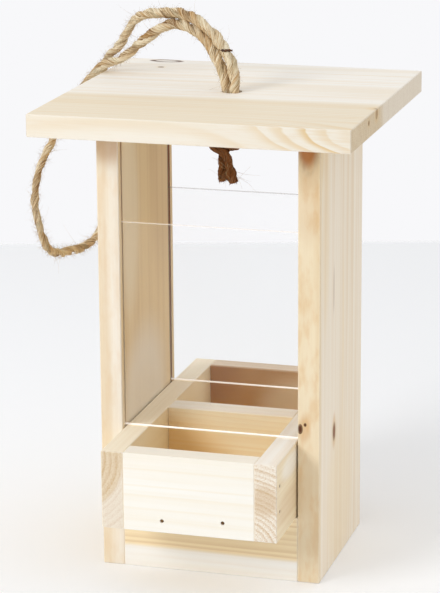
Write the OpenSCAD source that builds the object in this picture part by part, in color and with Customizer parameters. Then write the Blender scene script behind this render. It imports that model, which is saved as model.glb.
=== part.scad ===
// Wooden bird feeder in planed pine. Two uprights carry a flat overhanging roof and stand on a
// base of two rails. Two clear panes slide up in grooves of the uprights and hold the seed between
// them. A loose nailed tray slides through under the panes, so birds feed at both of its ends.
// A rope loop passes through the roof and ends in a knot below it.
// Sizes are in millimetres. +Z is up, the front is -Y, and the origin is on the ground below the
// middle of the roof.

/* [Roof] */
// Roof size from side to side
roof_w = 170; // [140:1:240]
// Roof size from front to back
roof_d = 170; // [120:1:240]
// Thickness of the roof board
roof_t = 12; // [9:0.5:18]

/* [Frame] */
// Height of the uprights, from the ground to the roof
upright_h = 243; // [200:1:320]
// Size of the uprights from front to back
upright_d = 95; // [70:1:130]
// Thickness of the uprights
upright_t = 12; // [9:0.5:18]
// Clear width between the uprights
gap_w = 97; // [80:1:120]
// Height of the two base rails that the tray slides on
rail_h = 36; // [24:1:48]
// Thickness of the base rails
rail_t = 12; // [9:0.5:18]
// Width of the flat sanded along every board edge
edge_ease = 0.4; // [0.2:0.1:1]

/* [Panes] */
// Thickness of the clear sheet
pane_t = 2; // [1.5:0.5:4]
// Open height left above each pane, for pouring the seed in
fill_gap = 52; // [20:1:80]
// Depth of the pane grooves in the uprights
groove_depth = 4; // [2.5:0.5:6]
// Wood left between each groove and the edge of the upright
groove_wall = 4; // [2:0.5:10]
// Play between the groove and each face of a pane
pane_face_play = 0.25; // [0.1:0.05:0.6]
// Play between the bottom of the groove and each side of a pane
pane_side_play = 0.5; // [0.2:0.1:1.5]
// Gap between the tray's rim and the panes above it
pane_foot_gap = 0.4; // [0.3:0.1:5]
// Width of the polished flat along the edges of a pane
pane_ease = 0.2; // [0.1:0.1:0.5]

/* [Tray] */
// Length of the tray from front to back
tray_l = 174; // [130:1:240]
// Height of the tray
tray_h = 42.5; // [36:0.5:60]
// Thickness of the tray's sides and ends
tray_wall_t = 12; // [8:0.5:16]
// Thickness of the tray's floor
tray_floor_t = 12; // [6:0.5:16]
// Thickness of the divider across the middle of the tray
divider_t = 14; // [6:0.5:18]
// Play between the tray and each upright
tray_side_play = 0.9; // [0.3:0.1:2]

/* [Nails] */
// Length of the brads
nail_l = 28; // [20:1:30]
// Diameter of a brad's shank
nail_d = 1.4; // [1:0.1:1.8]
// Diameter of a brad's head
nail_head_d = 2; // [1.9:0.1:3]
// Thickness of a brad's head
nail_head_h = 0.8; // [0.5:0.1:1.2]
// Depth that a head is punched below the wood
nail_set = 0.7; // [0:0.1:1.5]
// Space between a brad and its hole
nail_fit = 0.05; // [0.02:0.01:0.1]
// Distance of the roof's nails from the front and back of the uprights
roof_nail_inset = 18; // [10:1:30]
// Distance of the rails' nails from the top and bottom of the rails
rail_nail_inset = 9; // [6:0.5:11]
// Height of the lower nails in the tray's sides over its floor
side_nail_rise = 3.5; // [3:0.5:8]
// Depth of the upper nails in the tray's sides below its rim
side_nail_drop = 13; // [6:0.5:14]
// Distance between the two nails in each end of the tray
end_nail_gap = 33; // [16:1:40]
// Distance of the middle between them to the right of the tray's middle
end_nail_shift = 2; // [-6:0.5:6]
// Height of those nails over the middle of the floor board
end_nail_rise = 1.5; // [-2:0.5:2]
// Height of the right one of them over the left one, as driven by hand
end_nail_slant = 2; // [-2:0.5:2]

/* [Rope] */
// Diameter of the rope
rope_d = 5; // [4:0.5:6]
// Space between the two strands in the roof's hole
strand_gap = 0.4; // [0.4:0.1:2]
// Turn of the two strands in that hole, the right one to the front
strand_turn = 27; // [0:1:45]
// Play between the strands and the roof's hole
hole_play = 0.3; // [0.3:0.1:2]
// Width of the knot under the roof
knot_w = 20; // [19:0.5:24]
// Height of the knot
knot_h = 25; // [20:0.5:32]
// Distance of the knot's middle to the left of the hole
knot_shift = 3.8; // [0:0.1:3.8]
// Length of the rope's two loose tails
tail_l = 14; // [8:1:24]

/* [Hidden] */

// Cuts run this far past a face
over = 1;
LEFT = -1;
RIGHT = 1;
FRONT = -1;
BACK = 1;

// Frame
upright_x = gap_w / 2 + upright_t / 2;
outer_x = gap_w / 2 + upright_t;
rail_y = upright_d / 2 - rail_t / 2;
roof_top = upright_h + roof_t;

// Tray, standing on the rails
tray_w = gap_w - 2 * tray_side_play;
tray_z = rail_h;
tray_floor_top = tray_z + tray_floor_t;
tray_top = tray_z + tray_h;
tray_inner_w = tray_w - 2 * tray_wall_t;
tray_inner_l = tray_l - 2 * tray_wall_t;
tray_end_y = tray_l / 2 - tray_wall_t / 2;

// Panes, standing on the closed lower ends of the grooves
groove_w = pane_t + 2 * pane_face_play;
pane_y = upright_d / 2 - groove_wall - groove_w / 2;
pane_z = tray_top + pane_foot_gap;
pane_h = upright_h - fill_gap - pane_z;
pane_w = gap_w + 2 * (groove_depth - pane_side_play);

// Rope: two strands side by side in the hole
strand_side = (rope_d + strand_gap) / 2 * [cos(strand_turn), -sin(strand_turn), 0];
hole_d = 2 * rope_d + strand_gap + 2 * hole_play;
rope_sides = 10;
rope_steps = 2;
// The first strand rises from the hole, seen from the middle of the roof's top
first_strand = [[-5, 1, 9], [-11, 4, 20], [-19, 8, 28], [-28, 12, 32], [-38, 17, 32],
    [-48, 21, 27], [-58, 26, 20], [-68, 31, 12], [-76, 36, 7]];
// The loop hangs over the left edge, seen from the middle of that edge of the roof's top
hanging_loop = [[2, 37, 5], [-3, 35, 1], [-6, 29, -4], [-8, 19, -10], [-10, 3, -18], [-11, -15, -28],
    [-13, -32, -41], [-13, -40, -57], [-12, -35, -74], [-11, -26, -86], [-11, -11, -92], [-10, 8, -95],
    [-10, 29, -98], [-9, 52, -95], [-8, 68, -78], [-8, 71, -52], [-7, 63, -25], [-6, 54, -5], [0, 47, 7]];
// The second strand comes back to the hole, seen from the middle of the roof's top
second_strand = [[-77, 42, 14], [-71, 38, 22], [-65, 33, 30], [-56, 27, 35], [-45, 21, 37],
    [-33, 15, 38], [-22, 9, 36], [-12, 5, 30], [-4, 2, 21], [1, 0, 11]];
// Length of straight rope at each end of the hole
strand_lead = 1;
// The tails start as far apart as the strands, turned this much further
tail_turn = 10;
// Their drift to the right and to the back, and how far each parts from the other, for a unit of length
tail_lean = [0.15, 0.05];
tail_parting = 0.1;

// Knot: the wraps of rope around its middle, as heights in shares of the knot and as tilts
wrap_levels = [0.3, 0.62];
wrap_tilts = [16, 18];
wrap_turns = [20, 200];
wrap_proud = 0.9;
knot_foot_d = 2 * rope_d + 2 * strand_gap;

// Shades of the pieces
pine = "#ecd9b4";
pine_dark = "#e0c793";
clear_sheet = [0.85, 0.92, 0.95, 0.3];
jute = "#b98f58";
steel = "#8d8d90";

// Rectangle with its four corners cut, from the origin
module eased_rect(w, h, ease) {
    polygon([[ease, 0], [w - ease, 0], [w, ease], [w, h - ease],
        [w - ease, h], [ease, h], [0, h - ease], [0, ease]]);
}

// Board of size s with all its edges eased, centred in X and Y and standing on z = 0
module board(s, ease) {
    translate([-s.x / 2, -s.y / 2, 0]) intersection() {
        linear_extrude(s.z) eased_rect(s.x, s.y, ease);
        translate([0, s.y, 0]) rotate([90, 0, 0]) linear_extrude(s.y) eased_rect(s.x, s.z, ease);
        rotate([90, 0, 90]) linear_extrude(s.x) eased_rect(s.y, s.z, ease);
    }
}

// Brad driven down from the surface at z = 0
module brad() {
    head_r = nail_head_d / 2;
    shank_r = nail_d / 2;
    tip_l = nail_d;
    translate([0, 0, -nail_set]) rotate_extrude($fn = 32)
        polygon([[0, 0], [head_r, 0], [head_r, -nail_head_h], [shank_r, -nail_head_h],
            [shank_r, tip_l - nail_l], [0, -nail_l]]);
}

// Hole for that brad, which opens at the surface
module brad_hole() {
    head_floor = -nail_set - nail_head_h;
    translate([0, 0, head_floor]) cylinder(d = nail_head_d + 2 * nail_fit, h = over - head_floor, $fn = 32);
    translate([0, 0, -nail_set - nail_l - nail_fit])
        cylinder(d = nail_d + 2 * nail_fit, h = nail_l, $fn = 32);
}

// Places for the brads: each puts its child on the surface that the nail enters

// Down through the roof into the top of each upright
module at_roof_nails() {
    for (side = [LEFT, RIGHT], end = [FRONT, BACK])
        translate([side * upright_x, end * (upright_d / 2 - roof_nail_inset), roof_top]) children();
}

// In through one upright into the ends of both rails
module at_rail_nails(side) {
    for (end = [FRONT, BACK], z = [rail_nail_inset, rail_h - rail_nail_inset])
        translate([side * outer_x, end * rail_y, z]) rotate([0, side * 90, 0]) children();
}

// In through one side of the tray into its two ends and its divider
module at_tray_side_nails(side) {
    levels = [tray_floor_top + side_nail_rise, tray_top - side_nail_drop];
    for (y = [-tray_end_y, 0, tray_end_y], z = levels)
        translate([side * tray_w / 2, y, z]) rotate([0, side * 90, 0]) children();
}

// In through one end of the tray into its floor
module at_tray_end_nails(end) {
    middle = [end_nail_shift, end * tray_l / 2, tray_z + tray_floor_t / 2 + end_nail_rise];
    for (side = [LEFT, RIGHT])
        translate(middle + side * [end_nail_gap, 0, end_nail_slant] / 2) rotate([-end * 90, 0, 0]) children();
}

// Frame pieces

module roof() {
    color(pine) difference() {
        translate([0, 0, upright_h]) board([roof_w, roof_d, roof_t], edge_ease);
        translate([0, 0, upright_h - over]) cylinder(d = hole_d, h = roof_t + 2 * over, $fn = 64);
        at_roof_nails() brad_hole();
    }
}

// Side board with a groove for each pane, open at the top and closed where the pane stands
module upright(side) {
    color(pine) difference() {
        translate([side * upright_x, 0, 0]) board([upright_t, upright_d, upright_h], edge_ease);
        for (end = [FRONT, BACK])
            translate([side * gap_w / 2, end * pane_y, (pane_z + upright_h + over) / 2])
                cube([2 * groove_depth, groove_w, upright_h + over - pane_z], center = true);
        at_roof_nails() brad_hole();
        at_rail_nails(side) brad_hole();
    }
}

module left_upright() {
    upright(LEFT);
}

module right_upright() {
    upright(RIGHT);
}

module rail(end) {
    color(pine_dark) difference() {
        translate([0, end * rail_y, 0]) board([gap_w, rail_t, rail_h], edge_ease);
        for (side = [LEFT, RIGHT]) at_rail_nails(side) brad_hole();
    }
}

module front_rail() {
    rail(FRONT);
}

module back_rail() {
    rail(BACK);
}

module roof_nails() {
    color(steel) at_roof_nails() brad();
}

module left_rail_nails() {
    color(steel) at_rail_nails(LEFT) brad();
}

module right_rail_nails() {
    color(steel) at_rail_nails(RIGHT) brad();
}

// Panes

module pane(end) {
    color(clear_sheet) translate([0, end * pane_y, pane_z]) board([pane_w, pane_t, pane_h], pane_ease);
}

module front_pane() {
    pane(FRONT);
}

module back_pane() {
    pane(BACK);
}

// Tray pieces: long sides outside, ends and floor between them

module tray_side(side) {
    color(pine_dark) difference() {
        translate([side * (tray_w - tray_wall_t) / 2, 0, tray_z])
            board([tray_wall_t, tray_l, tray_h], edge_ease);
        at_tray_side_nails(side) brad_hole();
    }
}

module tray_left_side() {
    tray_side(LEFT);
}

module tray_right_side() {
    tray_side(RIGHT);
}

module tray_end(end) {
    color(pine) difference() {
        translate([0, end * tray_end_y, tray_z]) board([tray_inner_w, tray_wall_t, tray_h], edge_ease);
        at_tray_end_nails(end) brad_hole();
        for (side = [LEFT, RIGHT]) at_tray_side_nails(side) brad_hole();
    }
}

module tray_front_board() {
    tray_end(FRONT);
}

module tray_back_board() {
    tray_end(BACK);
}

module tray_divider() {
    color(pine_dark) difference() {
        translate([0, 0, tray_floor_top])
            board([tray_inner_w, divider_t, tray_top - tray_floor_top], edge_ease);
        for (side = [LEFT, RIGHT]) at_tray_side_nails(side) brad_hole();
    }
}

module tray_floor() {
    color(pine_dark) difference() {
        translate([0, 0, tray_z]) board([tray_inner_w, tray_inner_l, tray_floor_t], edge_ease);
        for (end = [FRONT, BACK]) at_tray_end_nails(end) brad_hole();
    }
}

module tray_left_nails() {
    color(steel) at_tray_side_nails(LEFT) brad();
}

module tray_right_nails() {
    color(steel) at_tray_side_nails(RIGHT) brad();
}

module tray_front_nails() {
    color(steel) at_tray_end_nails(FRONT) brad();
}

module tray_back_nails() {
    color(steel) at_tray_end_nails(BACK) brad();
}

// Rope: a round tube swept along a smooth curve through the points of a route

function unit(v) = v / norm(v);

// Point at share t of the smooth curve from b to c, with a before it and d after it
function curve_point(a, b, c, d, t) =
    (2 * b + (c - a) * t + (2 * a - 5 * b + 4 * c - d) * t ^ 2 + (3 * b - a - 3 * c + d) * t ^ 3) / 2;

// The route with the given number of steps between its points
function smooth(route, steps) =
    let (last = len(route) - 1,
        p = concat([2 * route[0] - route[1]], route, [2 * route[last] - route[last - 1]]))
    concat([for (i = [1:last], k = [0:steps - 1])
            curve_point(p[i - 1], p[i], p[i + 1], p[i + 2], k / steps)],
        [route[last]]);

function heading(path, i) = unit(path[min(i + 1, len(path) - 1)] - path[max(i - 1, 0)]);

// What is left of a vector across a heading
function across(v, along) = unit(v - (v * along) * along);

// One sideways direction per point, carried along the path without twisting
function sideways(path, first) =
    [for (i = 0, s = across(first, heading(path, 0)); i < len(path);
        i = i + 1, s = i < len(path) ? across(s, heading(path, i)) : s) s];

module tube(path, d, sides) {
    side = sideways(path, [0, 1, 0]);
    rings = [for (i = [0:len(path) - 1], k = [0:sides - 1])
        let (a = k * 360 / sides, up = cross(heading(path, i), side[i]))
        path[i] + d / 2 * (cos(a) * side[i] + sin(a) * up)];
    first_cap = [[for (k = [0:sides - 1]) k]];
    last_cap = [[for (k = [sides - 1:-1:0]) (len(path) - 1) * sides + k]];
    walls = [for (i = [0:len(path) - 2], k = [0:sides - 1], half = [0, 1])
        let (a = i * sides + k, b = i * sides + (k + 1) % sides)
        half == 0 ? [a, a + sides, b] : [b, a + sides, b + sides]];
    polyhedron(points = rings, faces = concat(first_cap, walls, last_cap));
}

module hanging_rope() {
    hole_top = [0, 0, roof_top];
    hole_mouth = [0, 0, roof_top - strand_lead];
    hole_foot = [0, 0, upright_h];
    left_edge = [-roof_w / 2, 0, roof_top];
    route = concat(
        [hole_foot - strand_side, hole_mouth - strand_side],
        [for (p = first_strand) hole_top + p],
        [for (p = hanging_loop) left_edge + p],
        [for (p = second_strand) hole_top + p],
        [hole_mouth + strand_side, hole_foot + strand_side]);
    color(jute) tube(smooth(route, rope_steps), rope_d, rope_sides);
}

// Stopper knot that bears on the underside of the roof, with the rope's wraps standing proud
module rope_knot() {
    core_r = knot_w / 2 - wrap_proud;
    wrap_r = knot_w / 2 - rope_d / 2;
    color(jute) translate([-knot_shift, 0, upright_h]) {
        rotate_extrude($fn = 64) polygon([[0, 0], [core_r, 0], [core_r, -knot_h * wrap_levels[1]],
            [knot_foot_d / 2, -knot_h], [0, -knot_h]]);
        for (i = [0:len(wrap_levels) - 1])
            translate([0, 0, -knot_h * wrap_levels[i]]) rotate([wrap_tilts[i], 0, wrap_turns[i]])
                rotate_extrude($fn = 64) translate([wrap_r, 0]) circle(d = rope_d, $fn = 32);
    }
}

// The two loose ends that hang out of the knot
module rope_tails() {
    foot = [-knot_shift, 0, upright_h - knot_h];
    turn = strand_turn + tail_turn;
    for (side = [LEFT, RIGHT]) {
        start = foot + side * norm(strand_side) * [cos(turn), -sin(turn), 0];
        lead = [0, 0, -tail_l / 4];
        drop = [tail_lean.x + side * tail_parting, tail_lean.y, -1] * tail_l;
        route = [start, start + lead, start + 2 * lead, start + drop];
        color(jute) tube(smooth(route, rope_steps), rope_d, rope_sides);
    }
}

roof();
left_upright();
right_upright();
front_rail();
back_rail();
roof_nails();
left_rail_nails();
right_rail_nails();
hanging_rope();
rope_knot();
rope_tails();
front_pane();
back_pane();
tray_left_side();
tray_right_side();
tray_front_board();
tray_back_board();
tray_divider();
tray_floor();
tray_left_nails();
tray_right_nails();
tray_front_nails();
tray_back_nails();
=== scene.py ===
# %% [markdown]
# A wooden bird feeder: a flat roof board on two uprights, a loose seed tray that slides through
# between them, two clear sheets in grooves and a loop of jute rope. The boards, sheets and brads
# arrive as finished solids, so this lesson gives them their wood, plastic and steel. The rope
# arrives only as a plain tube, so it is wound here from its own strands.

import math

import bpy
import numpy as np
from mathutils import Color, Euler, Matrix, Vector


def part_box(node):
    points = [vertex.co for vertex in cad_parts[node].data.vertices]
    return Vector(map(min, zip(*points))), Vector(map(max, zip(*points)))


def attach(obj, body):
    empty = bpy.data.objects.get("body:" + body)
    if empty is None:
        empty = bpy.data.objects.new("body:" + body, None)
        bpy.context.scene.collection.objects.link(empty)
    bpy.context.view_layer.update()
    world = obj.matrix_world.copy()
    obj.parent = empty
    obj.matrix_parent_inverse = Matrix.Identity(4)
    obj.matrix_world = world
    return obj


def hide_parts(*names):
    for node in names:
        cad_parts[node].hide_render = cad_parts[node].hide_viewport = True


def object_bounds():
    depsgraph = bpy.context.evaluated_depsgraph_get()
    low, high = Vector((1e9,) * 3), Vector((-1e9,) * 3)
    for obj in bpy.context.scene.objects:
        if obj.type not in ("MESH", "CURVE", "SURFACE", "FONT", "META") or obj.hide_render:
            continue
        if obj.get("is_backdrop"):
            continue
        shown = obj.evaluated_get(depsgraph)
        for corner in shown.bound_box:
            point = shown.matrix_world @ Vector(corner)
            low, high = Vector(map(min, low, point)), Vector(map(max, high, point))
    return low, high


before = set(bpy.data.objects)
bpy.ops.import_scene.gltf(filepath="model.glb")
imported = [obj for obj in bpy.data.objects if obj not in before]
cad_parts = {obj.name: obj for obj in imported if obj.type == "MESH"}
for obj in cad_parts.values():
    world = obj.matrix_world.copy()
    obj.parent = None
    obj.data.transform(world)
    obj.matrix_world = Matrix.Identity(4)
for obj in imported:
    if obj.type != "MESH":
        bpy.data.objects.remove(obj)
cad_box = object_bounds()
MM = 0.001

# %% [markdown]
# The camera stands a little right of the front and a little above the roof, far enough back that
# the uprights stay nearly parallel. It could be placed by hand in the viewport, but angles and a
# distance round a point in the middle of the feeder are easier to read and to adjust.

# %% Set the camera
photo_height = 593
focal_pixels = 2542.0
camera_azimuth = math.radians(16.22)
camera_elevation = math.radians(15.323)
camera_roll = math.radians(-0.394)
camera_target = Vector((-8.35, 3.47, 140.66)) * MM
camera_distance = 1384.3 * MM


def direction(azimuth, elevation):
    """The way to a point that is so far round from the front, to the right, and so far up."""
    return Vector((
        math.sin(azimuth) * math.cos(elevation),
        -math.cos(azimuth) * math.cos(elevation),
        math.sin(elevation),
    ))


to_camera = direction(camera_azimuth, camera_elevation)
level = Vector((math.cos(camera_azimuth), math.sin(camera_azimuth), 0.0))
upward = to_camera.cross(level)
turned = Matrix((level, upward, to_camera)).transposed() @ Matrix.Rotation(camera_roll, 3, "Z")

camera_data = bpy.data.cameras.new("portrait_camera")
camera_data.lens = focal_pixels * camera_data.sensor_width / photo_height
camera = bpy.data.objects.new("portrait_camera", camera_data)
camera.matrix_world = Matrix.Translation(camera_target + to_camera * camera_distance) @ turned.to_4x4()
bpy.context.scene.collection.objects.link(camera)
bpy.context.scene.camera = camera
print("camera lens", round(camera_data.lens, 1), "mm")

# %% [markdown]
# Node trees are long lists of sockets and links, which read badly. A small class wraps one socket,
# so that sums are written as sums. Each operator adds its Math node, and one method makes any other
# node: settings are set first, then each input takes a number, a colour or another wire. The other
# methods are short names for nodes that most finishes need.

# %% Wrap a socket as a wire
class Wire:
    """One output socket of a node tree, which takes part in sums as a number does."""

    def __init__(self, tree, socket=None):
        self.tree = tree
        self.socket = socket

    def node(self, kind, settings=None, feeds=None, out=0):
        """Any node: its settings come first, then a value or a wire for each of its inputs."""
        made = self.tree.nodes.new(kind)
        for name, value in (settings or {}).items():
            setattr(made, name, value)
        for name, value in (feeds or {}).items():
            if isinstance(value, Wire):
                self.tree.links.new(value.socket, made.inputs[name])
            else:
                made.inputs[name].default_value = value
        return Wire(self.tree, made.outputs[out]) if len(made.outputs) else None

    def also(self, out):
        """Another output of the node that this wire comes from."""
        return Wire(self.tree, self.socket.node.outputs[out])

    def math(self, operation, *values):
        return self.node("ShaderNodeMath", {"operation": operation}, dict(enumerate(values)))

    def __add__(self, other):
        return self.math("ADD", self, other)

    def __radd__(self, other):
        return self.math("ADD", other, self)

    def __sub__(self, other):
        return self.math("SUBTRACT", self, other)

    def __rsub__(self, other):
        return self.math("SUBTRACT", other, self)

    def __mul__(self, other):
        return self.math("MULTIPLY", self, other)

    def __rmul__(self, other):
        return self.math("MULTIPLY", other, self)

    def __truediv__(self, other):
        return self.math("DIVIDE", self, other)

    def __rtruediv__(self, other):
        return self.math("DIVIDE", other, self)

    def __abs__(self):
        return self.math("ABSOLUTE", self)

    def rise(self, low, high):
        """0 below low, 1 above high and a smooth slope between them."""
        feeds = {"Value": self, "From Min": low, "From Max": high}
        return self.node("ShaderNodeMapRange", {"interpolation_type": "SMOOTHSTEP"}, feeds)

    def tint(self, none, full):
        """A colour that goes from none, where this wire is 0, to full, where it is 1."""
        # Mix has sockets for each kind of value, so those for colours are picked by number.
        return self.node("ShaderNodeMix", {"data_type": "RGBA"}, {0: self, 6: none, 7: full}, 2)

    def vector(self, operation, other=(0.0, 0.0, 0.0), out=0):
        return self.node("ShaderNodeVectorMath", {"operation": operation}, {0: self, 1: other}, out)

    def scaled(self, factor):
        return self.node("ShaderNodeVectorMath", {"operation": "SCALE"}, {0: self, "Scale": factor})

    def length(self):
        return self.vector("LENGTH", out="Value")

    def reach(self, way):
        """How far this vector goes in a direction."""
        return self.vector("DOT_PRODUCT", way, "Value")

    def axis(self, name):
        """One of the three numbers of this vector."""
        return self.node("ShaderNodeSeparateXYZ", None, {"Vector": self}, name)

    def noise(self, stretch, detail=2.0, out=0):
        """Cloudy noise, with stretch giving how many clouds go into one unit along each axis."""
        feeds = {"Vector": self.vector("MULTIPLY", stretch), "Scale": 1.0, "Detail": detail}
        return self.node("ShaderNodeTexNoise", None, feeds, out)

    def bump(self, strength, distance):
        """A normal that rises where this wire is high."""
        feeds = {"Height": self, "Strength": strength, "Distance": distance}
        return self.node("ShaderNodeBump", None, feeds)


print("wires ready")

# %% [markdown]
# Every finish starts from an empty material and ends in one Principled shader, which holds for wood,
# steel, plastic and fibre alike. Colours are written as a screen shows them, because that is how they
# are judged, and are turned into the linear values that a shader takes.

# %% Start and end a finish
def shade(red, green, blue):
    """A colour as a screen shows it, 0 to 255, as the linear colour that a shader takes."""
    shown = Color((red / 255, green / 255, blue / 255))
    return (*shown.from_srgb_to_scene_linear(), 1.0)


def new_finish(name):
    material = bpy.data.materials.new(name)
    material.use_nodes = True
    material.node_tree.nodes.clear()
    return material, Wire(material.node_tree)


def principled(wire, feeds):
    surface = wire.node("ShaderNodeBsdfPrincipled", None, feeds)
    wire.node("ShaderNodeOutputMaterial", None, {"Surface": surface})


print("middle grey is", round(shade(128, 128, 128)[0], 3), "to a shader")

# %% [markdown]
# Jute is a bast fibre: long flat straws, pale gold and brown, with greyer bundles here and there. The
# skin is darker deep in the lay as painted shade, and the knot and tails under the roof take a darker
# copy, partly handled jute and partly painted shade. The straws follow each strand round the rope, so
# the finish reads an attribute that the rope carries on its skin, and not the place in space.

# %% Finish the jute
JUTE_DEEP = shade(126, 86, 46)
JUTE_MID = shade(217, 191, 150)
JUTE_BRIGHT = shade(246, 234, 206)
JUTE_GREY = shade(178, 164, 130)
JUTE_OCHRE = shade(196, 148, 82)
JUTE_SHADE = shade(126, 76, 34)
JUTE_STRAWS = (2.8, 2.8, 0.15)
JUTE_HAIRS = (8.0, 8.0, 0.4)
JUTE_PATCHES = (0.4, 0.4, 0.035)
mid_from = (0.32, 0.5)
bright_from = (0.46, 0.64)
grey_from = (0.54, 0.7)
ochre_until = (0.3, 0.46)
lay_shade_from = (0.35, 1.0)
jute_lift = 0.35 * MM


def jute(name, dull):
    """Fibres along each strand; dull from 0, clean and pale, to 1, dark from handling and painted shade.
    """
    material, wire = new_finish(name)
    skin = wire.node("ShaderNodeAttribute", {"attribute_name": "strand_skin"}, None, "Vector")
    tone = wire.node("ShaderNodeAttribute", {"attribute_name": "strand_tone"}, None, "Fac")
    hollow = wire.node("ShaderNodeAttribute", {"attribute_name": "strand_hollow"}, None, "Fac")
    straws = skin.noise(JUTE_STRAWS, detail=3.0)
    hairs = skin.noise(JUTE_HAIRS, detail=2.0)
    patches = skin.noise(JUTE_PATCHES, detail=1.0)
    light = straws * 0.7 + hairs * 0.3 + tone * 0.16
    colour = light.rise(*mid_from).tint(JUTE_DEEP, JUTE_MID)
    colour = light.rise(*bright_from).tint(colour, JUTE_BRIGHT)
    colour = (patches.rise(*grey_from) * 0.5).tint(colour, JUTE_GREY)
    colour = ((1.0 - patches.rise(*ochre_until)) * 0.5).tint(colour, JUTE_OCHRE)
    # Painted shade: the skin is darker deep in the lay between the strands.
    colour = (hollow.rise(*lay_shade_from) * 0.6).tint(colour, JUTE_DEEP)
    # Painted shade and handling: dull darkens the knot and tails, which hang in the shade under the roof.
    colour = (dull * (1.42 - straws * 0.8)).tint(colour, JUTE_SHADE)
    principled(wire, {
        "Base Color": colour,
        "Roughness": 0.92 - straws * 0.25,
        "Normal": (straws * 0.6 + hairs * 0.5).bump(strength=0.9, distance=jute_lift),
        "Specular IOR Level": 0.3,
    })
    return material


clean_jute = jute("clean_jute", 0.0)
handled_shaded_jute = jute("handled_shaded_jute", 1.0)
print("jute finishes", clean_jute.name, handled_shaded_jute.name)

# %% [markdown]
# A limp rope bends smoothly and keeps its thickness. A spline object would give a smooth line too,
# but plain arrays let each strand be worked out from it, so a short formula draws the curve and a
# second step spaces its points evenly.

# %% Draw a smooth line
curve_steps = 12
ring_gap = 0.8


def smooth_line(points, steps=curve_steps):
    """A curve through every point, bending the way a limp rope does."""
    p = np.array(points, float)
    p = np.vstack([2 * p[0] - p[1], p, 2 * p[-1] - p[-2]])
    t = np.arange(steps)[:, None] / steps
    spans = []
    for a, b, c, d in zip(p, p[1:], p[2:], p[3:]):
        bend = (2 * a - 5 * b + 4 * c - d) * t ** 2 + (3 * b - a - 3 * c + d) * t ** 3
        spans.append((2 * b + (c - a) * t + bend) / 2)
    return np.vstack(spans + [p[-2:-1]])


def lengths_along(line):
    return np.concatenate([[0.0], np.cumsum(np.linalg.norm(np.diff(line, axis=0), axis=1))])


def even_steps(line, gap=ring_gap):
    """The same line with its points a steady gap apart."""
    along = lengths_along(line)
    marks = np.linspace(0.0, along[-1], max(2, round(along[-1] / gap) + 1))
    return np.stack([np.interp(marks, along, line[:, axis]) for axis in range(3)], axis=1)


print("smooth lines with a point every", ring_gap, "mm")

# %% [markdown]
# The rope runs up through the hole in the roof, over to the left edge, round in one slack loop and
# back down the same hole. Its route is the list of points that the solid follows, in millimetres.
# The stretches over the roof are measured from the top of the hole, and the hanging loop from the
# roof's left edge.

# %% Lay out the rope's route
rope_diameter = 5.0
strand_apart = 2.7
strand_turn = math.radians(27.0)
strand_lead = 1.0
mouth_lean = -1.5
roof_low, roof_high = [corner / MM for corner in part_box("roof")]
hole_top = np.array((0.0, 0.0, roof_high.z))
hole_mouth = np.array((0.0, mouth_lean, roof_high.z - strand_lead))
hole_foot = np.array((0.0, 0.0, roof_low.z))
left_edge = np.array((roof_low.x, 0.0, roof_high.z))
strand_place = strand_apart * np.array((math.cos(strand_turn), -math.sin(strand_turn), 0.0))

first_strand = [(-5, 1, 9), (-11, 4, 20), (-19, 8, 28), (-28, 12, 32), (-38, 17, 32),
                (-48, 21, 27), (-58, 26, 20), (-68, 31, 12), (-76, 36, 7)]
hanging_loop = [(2, 37, 5), (-3, 35, 1), (-6, 29, -4), (-8, 19, -10), (-10, 3, -18),
                (-11, -15, -28), (-13, -32, -41), (-13, -40, -57), (-12, -35, -74),
                (-11, -26, -86), (-11, -11, -92), (-10, 8, -95), (-10, 29, -98), (-9, 52, -95),
                (-8, 68, -78), (-8, 71, -52), (-7, 63, -25), (-6, 54, -5), (0, 47, 7)]
second_strand = [(-77, 42, 14), (-71, 38, 22), (-65, 33, 30), (-56, 27, 35), (-45, 21, 37),
                 (-33, 15, 38), (-22, 9, 36), (-12, 5, 30), (-4, 2, 21), (1, 0, 11)]

rope_route = np.vstack([
    hole_foot - strand_place, hole_mouth - strand_place,
    hole_top + first_strand, left_edge + hanging_loop, hole_top + second_strand,
    hole_mouth + strand_place, hole_foot + strand_place,
])
rope_line = even_steps(smooth_line(rope_route))
rope_along = lengths_along(rope_line)
rope_length = rope_along[-1]
print("rope", len(rope_route), "points,", round(rope_length), "mm long")

# %% [markdown]
# A tube needs directions across its line that don't spin as the line bends, or its skin would wring
# itself up. So one sideways direction is carried along the line, straightened a little at each point.
# Slow random ripples, added to a tube's place and thickness, keep it from looking machine made.

# %% Carry directions along a line
ripple_waves = 6


def carried_sides(line):
    """Two directions across the line at each of its points, which turn as little as possible."""
    heading = np.gradient(line, axis=0)
    heading /= np.linalg.norm(heading, axis=1)[:, None]
    side = np.empty_like(line)
    last = np.array((0.0, 1.0, 0.0))
    for i, ahead in enumerate(heading):
        last = last - ahead * last.dot(ahead)
        last /= np.linalg.norm(last)
        side[i] = last
    return side, np.cross(heading, side)


def skin_directions(side, up, sides):
    """The angles round a tube, and the way from its middle to its skin at each of them."""
    around = 2 * math.pi * np.arange(sides) / sides
    face = np.cos(around)[None, :, None] * side[:, None] + np.sin(around)[None, :, None] * up[:, None]
    return around, face


def ripple(along, draw, shortest, longest):
    """A slow random wave between about -1 and 1 along a length."""
    total = np.zeros_like(along)
    for _ in range(ripple_waves):
        total += np.sin(2 * math.pi * (along / draw.uniform(shortest, longest) + draw.uniform()))
    return total / math.sqrt(ripple_waves)


def tube_faces(count, sides, first):
    """Walls and end caps of one closed tube whose vertices start at the given number."""
    at = first + np.arange(count * sides).reshape(count, sides)
    beside = np.roll(at, -1, axis=1)
    walls = np.stack([at[:-1], beside[:-1], beside[1:], at[1:]], axis=2).reshape(-1, 4)
    return walls.tolist() + [at[0, ::-1].tolist(), at[-1].tolist()]


print("tubes ready, with ripples of", ripple_waves, "waves")

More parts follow.
